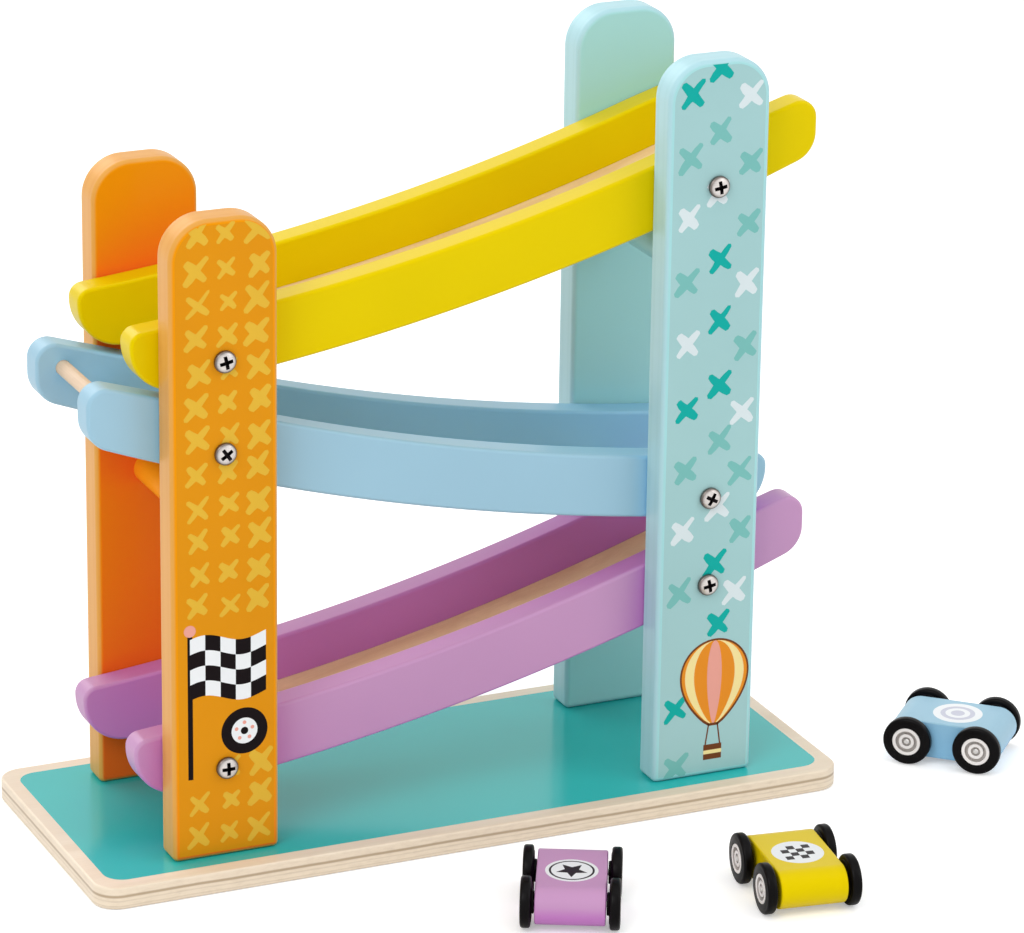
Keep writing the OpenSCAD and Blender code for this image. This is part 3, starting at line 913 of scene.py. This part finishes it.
def post_print(name):
    """A print on a front post's outer face, and the post's box."""
    lo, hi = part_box(name)
    fence = moved_in(post_outline(lo, hi), POST_EDGE_R * FENCE_SHARE)
    return Print(lambda u, v, d: Vector((u, lo.y - d, v)), fence), lo, hi


FLAG_CELL = 6.2 * MM
FLAG_COLUMNS = 5
FLAG_ROWS = 4
FLAG_STEPS = 4
# The flag's wave: its height, its turn over each column and its turn at the pole, in radians
FLAG_WAVE = 1.9 * MM
FLAG_WAVE_TURN = 1.25
FLAG_WAVE_START = 0.4
POLE_R = 1 * MM
POLE_L = 60 * MM
POLE_RISE = 3 * MM
POLE_KNOB_R = 2.4 * MM


def chequered_flag(film, x, z):
    """A waving flag. x, z is its lower corner at the pole."""

    def wave(i, j):
        swing = FLAG_WAVE * math.sin(FLAG_WAVE_TURN * i + FLAG_WAVE_START)
        return (x + i * FLAG_CELL, z + j * FLAG_CELL + swing)

    def patch(i, j, material):
        steps = [i + share for share in shares(FLAG_STEPS)]
        film.film([wave(k, j) for k in steps] + [wave(k, j + 1) for k in reversed(steps)], material, 3)

    pole_top = z + FLAG_ROWS * FLAG_CELL + POLE_RISE
    film.box(x - POLE_R, x + POLE_R, pole_top - POLE_L, pole_top, MARK_BLACK, 1)
    film.disc(x, pole_top + POLE_KNOB_R / 2, POLE_KNOB_R, MARK_PINK, 2)
    for i in range(FLAG_COLUMNS):
        for j in range(FLAG_ROWS):
            patch(i, j, MARK_WHITE if (i + j) % 2 else MARK_BLACK)


TYRE_PRINT_R = 9.5 * MM
# Shares of its radius: the wheel in it, the hub, the ring of studs and a stud
TYRE_WHEEL, TYRE_HUB, TYRE_STUD_RING, TYRE_STUD = 0.56, 0.16, 0.36, 0.08
TYRE_STUDS = 5


def printed_tyre(film, x, z):
    film.disc(x, z, TYRE_PRINT_R, MARK_BLACK, 1)
    film.disc(x, z, TYRE_PRINT_R * TYRE_WHEEL, MARK_WHITE, 2)
    film.disc(x, z, TYRE_PRINT_R * TYRE_HUB, MARK_BLACK, 3)
    reach = TYRE_PRINT_R * TYRE_STUD_RING
    for i in range(TYRE_STUDS):
        a = QUARTER + 2 * math.pi * i / TYRE_STUDS
        stud = (x + reach * math.cos(a), z + reach * math.sin(a))
        film.disc(*stud, TYRE_PRINT_R * TYRE_STUD, MARK_PINK, 3)


BALLOON_R = 14.5 * MM
BALLOON_OUTLINE = 0.8 * MM
# Half width of its neck and how far down that lies, as shares of its radius
BALLOON_NECK = 0.13
BALLOON_DROP = 1.45
BALLOON_TAPER = 0.8
BALLOON_STEPS = 14
GORES = (MARK_ORANGE, MARK_CREAM, MARK_ORANGE, MARK_PINK, MARK_ORANGE, MARK_CREAM, MARK_ORANGE)
BASKET_HALF = 4 * MM
BASKET_H = 6.5 * MM
BASKET_BAND = BASKET_H / 4
BASKET_DROP = 33.5 * MM
ROPE_HALF = 0.3 * MM


def balloon_width(rise):
    """A balloon's half width at a height above its middle, as shares of its radius."""
    if rise >= 0:
        return math.sqrt(max(0.0, 1 - rise * rise))
    taper = math.cos(QUARTER * min(1.0, -rise / BALLOON_DROP)) ** BALLOON_TAPER
    return BALLOON_NECK + (1 - BALLOON_NECK) * taper


def hot_air_balloon(film, x, z):
    """A striped balloon with its basket. x, z is the middle of its round top."""
    below = [-BALLOON_DROP * (1 - share) for share in shares(BALLOON_STEPS)[:-1]]
    rises = below + [math.sin(QUARTER * share) for share in shares(BALLOON_STEPS)]

    def gore(r, left, right, material, layer):
        up = [(x + r * right * balloon_width(rise), z + r * rise) for rise in rises]
        down = [(x + r * left * balloon_width(rise), z + r * rise) for rise in reversed(rises)]
        film.film(up + down, material, layer)

    gore(BALLOON_R + BALLOON_OUTLINE, -1, 1, MARK_BROWN, 1)
    cuts = [math.sin(math.pi * (share - 0.5)) for share in shares(len(GORES))]
    for material, left, right in zip(GORES, cuts, cuts[1:]):
        gore(BALLOON_R, left, right, material, 2)
    neck_z = z - BALLOON_DROP * BALLOON_R
    basket_z = z - BASKET_DROP
    for side in SIDES:
        top_x = x + side * BALLOON_NECK * BALLOON_R
        foot_x = x + side * (BASKET_HALF - ROPE_HALF)
        rope = [(foot_x - ROPE_HALF, basket_z), (foot_x + ROPE_HALF, basket_z)]
        film.film(rope + [(top_x + ROPE_HALF, neck_z), (top_x - ROPE_HALF, neck_z)], MARK_BROWN, 1)
    for height, material, layer in ((BASKET_H, MARK_BROWN, 2), (BASKET_BAND, MARK_CREAM, 3)):
        low, high = basket_z - height / 2, basket_z + height / 2
        film.box(x - BASKET_HALF, x + BASKET_HALF, low, high, material, layer)


# Crosses down a post's face end this far above its foot
FOOT_GAP = 3.5 * MM
# Columns of crosses on the orange post: place as a share of its width, size and brush width
ORANGE_COLUMNS = ((0.25, 9.4 * MM, 2.9 * MM), (0.53, 8.0 * MM, 2.6 * MM), (0.81, 10.0 * MM, 3.6 * MM))
ORANGE_PITCH = 13.4 * MM
ORANGE_TOP_GAP = 5.6 * MM
ORANGE_SCATTER = 0.8
ORANGE_SIZES = (0.88, 1.1)
ORANGE_WIDTHS = (0.8, 1.1)
# The flag's and the tyre's places from the post's left foot, and how much room they need
FLAG_X, FLAG_Z = 7 * MM, 66 * MM
FLAG_ROOM_R = 20 * MM
POLE_ROOM_R = 8 * MM
POLE_ROOM_DROPS = (12 * MM, 24 * MM)
TYRE_X_SHARE, TYRE_Z = 0.67, 51 * MM
TYRE_ROOM = 4.5 * MM


def near(u, v, spots):
    """Whether a mark's middle falls on one of the round spots (x, z, r)."""
    return any(math.dist((u, v), (x, z)) < r for x, z, r in spots)


def orange_print():
    film, lo, hi = post_print("left_front_post")
    rng = random.Random(5)
    width = hi.x - lo.x
    flag_x, flag_z = lo.x + FLAG_X, lo.z + FLAG_Z
    tyre_x, tyre_z = lo.x + width * TYRE_X_SHARE, lo.z + TYRE_Z
    flag_middle = (flag_x + FLAG_COLUMNS * FLAG_CELL / 2, flag_z + FLAG_ROWS * FLAG_CELL / 2)
    spots = [(*flag_middle, FLAG_ROOM_R), (tyre_x, tyre_z, TYRE_PRINT_R + TYRE_ROOM)]
    spots += [(flag_x, flag_z - drop, POLE_ROOM_R) for drop in POLE_ROOM_DROPS]
    for share, size, thick in ORANGE_COLUMNS:
        for row in range(int((hi.z - lo.z) / ORANGE_PITCH)):
            u = lo.x + width * share + rng.uniform(-ORANGE_SCATTER, ORANGE_SCATTER) * MM
            scatter = rng.uniform(-ORANGE_SCATTER, ORANGE_SCATTER) * MM
            v = hi.z - ORANGE_TOP_GAP - row * ORANGE_PITCH + scatter
            scale, weight = rng.uniform(*ORANGE_SIZES), rng.uniform(*ORANGE_WIDTHS)
            mark = cross_outline(u, v, size * scale, thick * weight, rng)
            if v > lo.z + FOOT_GAP and not near(u, v, spots):
                film.film(mark, MARK_YELLOW)
    chequered_flag(film, flag_x, flag_z)
    printed_tyre(film, tyre_x, tyre_z)
    film.keep("left_front_post_print", "orange_paint")


# Columns on the mint post: shares at the top and at the foot, gap above the first cross, tones
MINT_COLUMNS = (
    (0.22, 0.22, 12.5 * MM, "TMWMWTMWMWTM"),
    (0.49, 0.63, 3.0 * MM, "TMWTTTMWTTM"),
    (0.8, 0.79, 15.5 * MM, "WMMWMWMMWMTM"),
)
MINT_TONES = {"T": MARK_TEAL, "M": MARK_MID, "W": MARK_PALE}
MINT_PITCH = 25.5 * MM
MINT_SIZE = 10.4 * MM
MINT_WIDTH = 3.3 * MM
MINT_SCATTER_X, MINT_SCATTER_Z = 1, 1.2
MINT_SIZES = (0.94, 1.06)
# The balloon's place on the post, and how much room it and its basket need
BALLOON_X_SHARE, BALLOON_Z = 0.6, 43.5 * MM
BALLOON_ROOM_R = 20 * MM
BASKET_ROOM_R, BASKET_ROOM_DROP = 11 * MM, 27 * MM


def mint_print():
    film, lo, hi = post_print("right_front_post")
    rng = random.Random(11)
    width = hi.x - lo.x
    balloon_x, balloon_z = lo.x + width * BALLOON_X_SHARE, lo.z + BALLOON_Z
    spots = [(balloon_x, balloon_z, BALLOON_ROOM_R)]
    spots += [(balloon_x, balloon_z - BASKET_ROOM_DROP, BASKET_ROOM_R)]
    for top_share, foot_share, gap, tones in MINT_COLUMNS:
        for row, tone in enumerate(tones):
            v = hi.z - gap - row * MINT_PITCH + rng.uniform(-MINT_SCATTER_Z, MINT_SCATTER_Z) * MM
            share = top_share + (foot_share - top_share) * (hi.z - v) / (hi.z - lo.z)
            u = lo.x + width * share + rng.uniform(-MINT_SCATTER_X, MINT_SCATTER_X) * MM
            mark = cross_outline(u, v, MINT_SIZE * rng.uniform(*MINT_SIZES), MINT_WIDTH, rng)
            if v > lo.z + FOOT_GAP and not near(u, v, spots):
                film.film(mark, MINT_TONES[tone])
    hot_air_balloon(film, balloon_x, balloon_z)
    film.keep("right_front_post_print", "mint_paint")


# The cars

CAR_BODY_L = 48 * MM
CAR_BODY_W = 27 * MM
CAR_BODY_H = 15.6 * MM
CAR_EDGE_R = 0.7 * MM
CAR_NOSE_STEPS = 24
AXLE_R = 1.2 * MM
AXLE_FIT = 0.06 * MM
AXLE_EDGE = 0.3 * MM
AXLE_SUNK = 0.2 * MM
WHEEL_R = 9.98 * MM
WHEEL_STEPS = 72
WHEEL_IN_Y = CAR_BODY_W / 2 + 1.25 * MM
WHEEL_OUT_Y = WHEEL_IN_Y + 4.4 * MM
WHEEL_WEB = 1.2 * MM
WHEEL_PLAY = 0.02 * MM
BOSS_R = 4.5 * MM
BOSS_GAP = 0.3 * MM
# A tyre's sides lie back outside this radius, towards the car and away from it
TYRE_SIDE_R = 7.9 * MM
TYRE_STEP_IN = 0.25 * MM
TYRE_STEP_OUT = 0.1 * MM
TREAD_EDGE_R = 1.1 * MM
SOCKET_EASE = 0.25 * MM
WHEEL_EASE = 0.3 * MM
HUB_R = 5.85 * MM
HUB_STEPS = 56
HUB_EASE = 0.15 * MM
# Radii of the groove, the boss in it and the hole, as shares of the hub's, and how deep each lies
HUB_SHARES = (0.77, 0.55, 0.33)
HUB_DEPTHS = (1.7 * MM, 0.3 * MM, 1.5 * MM)
# The stretches of hub_profile in the groove and in the hole, which take the painted shade
HUB_SHADED_STRETCHES = (5, 6, 7, 11, 12)


def car_place(name):
    """A car's matrix, with +X forward, and half its wheelbase."""
    forward = Vector(JOINTS[name + "_roll"]["axis"]).normalized()
    front = Vector(JOINTS[name + "_front_wheels_turn"]["pos_m"])
    rear = Vector(JOINTS[name + "_rear_wheels_turn"]["pos_m"])
    heading = math.atan2(forward.y, forward.x)
    middle = (front + rear) / 2
    return Matrix.Translation(middle) @ Matrix.Rotation(heading, 4, "Z"), (front - rear).length / 2


def about_axle(car, end, side=1):
    """The way from (x, y, along) about a car's front or rear axle to its place."""
    place, half_base = car_place(car)
    return lambda x, y, along: place @ Vector((end * half_base + x, side * along, y))


def car_body(name, paint):
    place, _ = car_place(name)
    r = CAR_BODY_H / 2
    reach = CAR_BODY_L / 2 - r
    path = arc_points((reach, 0), r, -QUARTER, QUARTER, CAR_NOSE_STEPS)
    path += arc_points((-reach, 0), r, QUARTER, 1.5 * math.pi, CAR_NOSE_STEPS)
    mesh = bmesh.new()
    board(mesh, path, CAR_BODY_W, CAR_EDGE_R, lambda u, v, d: place @ Vector((u, -CAR_BODY_W / 2 + d, v)))
    piece = keep(mesh, name + "_body_painted", (paint,), name + "_body", name)
    cutter = bmesh.new()
    for end in SIDES:
        cylinder(cutter, AXLE_R + AXLE_FIT, -CAR_BODY_W, CAR_BODY_W, about_axle(name, end), BORE_STEPS)
    carve(piece, cutter)
    weigh_normals(piece)


def wheel_profile():
    """Half section of a wheel from its bore round the tread: (radius, along)."""
    web = WHEEL_IN_Y + WHEEL_WEB
    boss = CAR_BODY_W / 2 + BOSS_GAP
    bore = AXLE_R + WHEEL_PLAY
    socket = HUB_R + WHEEL_PLAY
    inner, outer = WHEEL_IN_Y + TYRE_STEP_IN, WHEEL_OUT_Y - TYRE_STEP_OUT
    edge = TREAD_EDGE_R
    points = [(bore, boss), (BOSS_R - WHEEL_EASE, boss), (BOSS_R, boss + WHEEL_EASE), (BOSS_R, WHEEL_IN_Y)]
    points += [(TYRE_SIDE_R - WHEEL_EASE, WHEEL_IN_Y), (TYRE_SIDE_R, inner)]
    points += arc_points((WHEEL_R - edge, inner + edge), edge, -QUARTER, 0, EDGE_STEPS)
    points += arc_points((WHEEL_R - edge, outer - edge), edge, 0, QUARTER, EDGE_STEPS)
    points += [(TYRE_SIDE_R + WHEEL_EASE, outer), (TYRE_SIDE_R, WHEEL_OUT_Y)]
    points += [(socket + SOCKET_EASE, WHEEL_OUT_Y), (socket, WHEEL_OUT_Y - SOCKET_EASE)]
    return points + [(socket, web), (bore, web)]


def hub_profile():
    """Half section of a hub, with its groove, boss and hole."""
    back = WHEEL_IN_Y + WHEEL_WEB + WHEEL_PLAY
    face = WHEEL_OUT_Y
    groove, boss, hole = (face - depth for depth in HUB_DEPTHS)
    groove_r, boss_r, hole_r = (share * HUB_R for share in HUB_SHARES)
    bore = AXLE_R + WHEEL_PLAY
    points = [(bore, back), (HUB_R, back), (HUB_R, face - HUB_EASE), (HUB_R - HUB_EASE, face)]
    points += [(groove_r + HUB_EASE, face), (groove_r, face - HUB_EASE), (groove_r, groove)]
    points += [(boss_r + HUB_EASE, groove), (boss_r, boss - HUB_EASE), (boss_r - HUB_EASE, boss)]
    return points + [(hole_r + HUB_EASE, boss), (hole_r, boss - HUB_EASE), (hole_r, hole), (bore, hole)]


def wheel_set(car, end):
    stem = "%s_%s" % (car, "front" if end > 0 else "rear")
    body = stem + "_wheel_set"
    wheels, hubs, axle = bmesh.new(), bmesh.new(), bmesh.new()
    for side in SIDES:
        put = about_axle(car, end, side)
        revolve(wheels, wheel_profile(), put, WHEEL_STEPS)
        revolve(hubs, hub_profile(), put, HUB_STEPS, HUB_SHADED_STRETCHES)
    axle_end = WHEEL_OUT_Y - AXLE_SUNK
    cylinder(axle, AXLE_R, -axle_end, axle_end, about_axle(car, end), BORE_STEPS, AXLE_EDGE)
    keep(wheels, stem + "_wheels_black", (WHEEL_BLACK,), stem + "_wheels", body)
    keep(hubs, stem + "_hubs_pale", (HUB_PALE, HUB_GROOVE_SHADE), stem + "_hubs", body)
    keep(axle, stem + "_axle_pin", (STEEL,), stem + "_axle", body)


# The badges on the cars

BADGE_R = 10.2 * MM
BADGE_AHEAD = 2 * MM
# Sizes as shares of a badge's radius, and a star's inner corners as a share of its points
STAR_RINGS = ((0.86, MARK_BLACK), (0.78, MARK_WHITE))
STAR_SHARE, STAR_INNER, STAR_POINTS = 0.62, 0.45, 5
CHECK_SHARE, CHECK_HALF = 0.3, 2
TARGET_RINGS = ((0.7, MARK_GREY), (0.5, MARK_WHITE), (0.28, MARK_GREY))


def car_badge(name, motif, slot):
    """A round print on top of a car."""
    place, _ = car_place(name)
    top = CAR_BODY_H / 2
    film = Print(lambda u, v, d: place @ Vector((BADGE_AHEAD + u, v, top + d)))
    film.disc(0, 0, BADGE_R, MARK_WHITE)
    motif(film)
    film.keep(name + "_badge", slot, name)


def badge_rings(film, rings):
    for i, (share, material) in enumerate(rings):
        film.disc(0, 0, BADGE_R * share, material, i + 1)


def star_badge(film):
    badge_rings(film, STAR_RINGS)
    outline = []
    for i in range(2 * STAR_POINTS):
        a = math.pi * i / STAR_POINTS
        r = BADGE_R * STAR_SHARE * (STAR_INNER if i % 2 else 1)
        outline.append((r * math.cos(a), r * math.sin(a)))
    film.film(outline, MARK_BLACK, len(STAR_RINGS) + 1)


def check_badge(film):
    cell = BADGE_R * CHECK_SHARE
    for i in range(-CHECK_HALF, CHECK_HALF):
        for j in range(-CHECK_HALF, CHECK_HALF):
            if (i + j) % 2:
                film.box(i * cell, (i + 1) * cell, j * cell, (j + 1) * cell, MARK_BLACK, 1)


def ring_badge(film):
    badge_rings(film, TARGET_RINGS)


# Light, floor and camera

FLOOR_REACH = 3.0
FLOOR_DROP = 0.2 * MM
FLOOR_TONE = (0.9, 0.9, 0.9, 1)
FLOOR_GLOW = 0.35
WORLD_LIGHT = 0.72
WHITE = (1, 1, 1, 1)
# Name, place, height of the point that it is turned to, size and power
LAMPS = (
    ("key", (-1.7, -1.3, 1.9), 0.12, 1.3, 20),
    ("fill", (1.5, -1.5, 1.5), 0.12, 1.4, 10),
    ("top", (0.3, -0.7, 2.2), 0, 1.4, 4),
    ("back", (-0.6, 1.6, 1.5), 0.1, 1.6, 16),
)
CAMERA_SENSOR = 36
CAMERA_LENS = 179.32
CAMERA_PLACE = (-0.74972, -1.73850, 0.81892)
CAMERA_TURN = (70.2453, -0.7853, -24.1097)


def stage():
    data = bpy.data.meshes.new("floor")
    data.from_pydata([(FLOOR_REACH * x, FLOOR_REACH * y, 0) for x, y in CORNERS], [], [range(4)])
    floor = new_object("floor", data)
    floor.location.z = -FLOOR_DROP
    look = Look("floor_paper", Specular_IOR_Level=0.1, Emission_Color=WHITE)
    camera_ray = look.add("LightPath").outputs["Is Camera Ray"]
    look.feed(look.maths("MULTIPLY", camera_ray, FLOOR_GLOW), look.bsdf.inputs["Emission Strength"])
    data.materials.append(look.finish(FLOOR_TONE, 0.9))


def world():
    made = bpy.data.worlds.new("studio")
    bpy.context.scene.world = made
    wiring = Wiring(made)
    rays = wiring.add("LightPath").outputs
    seen = wiring.maths("MAXIMUM", rays["Is Camera Ray"], rays["Is Glossy Ray"])
    background = wiring.nodes["Background"].inputs
    wiring.feed(WHITE, background["Color"])
    wiring.feed(wiring.spread(seen, WORLD_LIGHT, 1.0), background["Strength"])


def area_light(name, place, aim_height, size, power):
    data = bpy.data.lights.new(name, "AREA")
    data.shape = "SQUARE"
    data.size = size
    data.energy = power
    lamp = new_object(name, data)
    lamp.location = place
    lamp.rotation_euler = (Vector((0, 0, aim_height)) - Vector(place)).to_track_quat("-Z", "Y").to_euler()


def camera():
    data = bpy.data.cameras.new("camera")
    data.sensor_width = CAMERA_SENSOR
    data.lens = CAMERA_LENS
    made = new_object("camera", data)
    made.location = CAMERA_PLACE
    made.rotation_euler = tuple(math.radians(a) for a in CAMERA_TURN)
    bpy.context.scene.camera = made


base_board()
post("left_front_post", ORANGE, ORANGE_GROUND)
post("left_back_post", ORANGE, ORANGE)
post("right_front_post", MINT, MINT_GROUND)
post("right_back_post", MINT, MINT)
TRACK_PAINTS = ((PURPLE, "purple_paint"), (BLUE, "blue_paint"), (YELLOW, "yellow_paint"))
for track_level, (track_paint, track_slot) in enumerate(TRACK_PAINTS):
    for rail_side in SIDES:
        rail(track_level, rail_side, track_paint)
    track_floor(track_level)
    dowel(LEVELS[track_level] + "_stop_dowel", DOWEL_WOOD)
# The left tie dowel carries painted light and the right one painted shade
dowel("left_tie_dowel", ORANGE_LIT_BAR)
dowel("right_tie_dowel", MINT_SHADED_BAR)
for screw_side in SIDES:
    rail_screws(screw_side)
base_screws()
orange_print()
mint_print()
CARS = (
    ("purple_car", PURPLE, "purple_paint", star_badge),
    ("yellow_car", YELLOW, "yellow_paint", check_badge),
    ("blue_car", BLUE, "blue_paint", ring_badge),
)
for car_name, car_paint, car_slot, badge in CARS:
    car_body(car_name, car_paint)
    for car_end in SIDES:
        wheel_set(car_name, car_end)
    car_badge(car_name, badge, car_slot)
stage()
world()
for lamp_values in LAMPS:
    area_light(*lamp_values)
camera()

bpy.context.scene.view_settings.view_transform = "Standard"
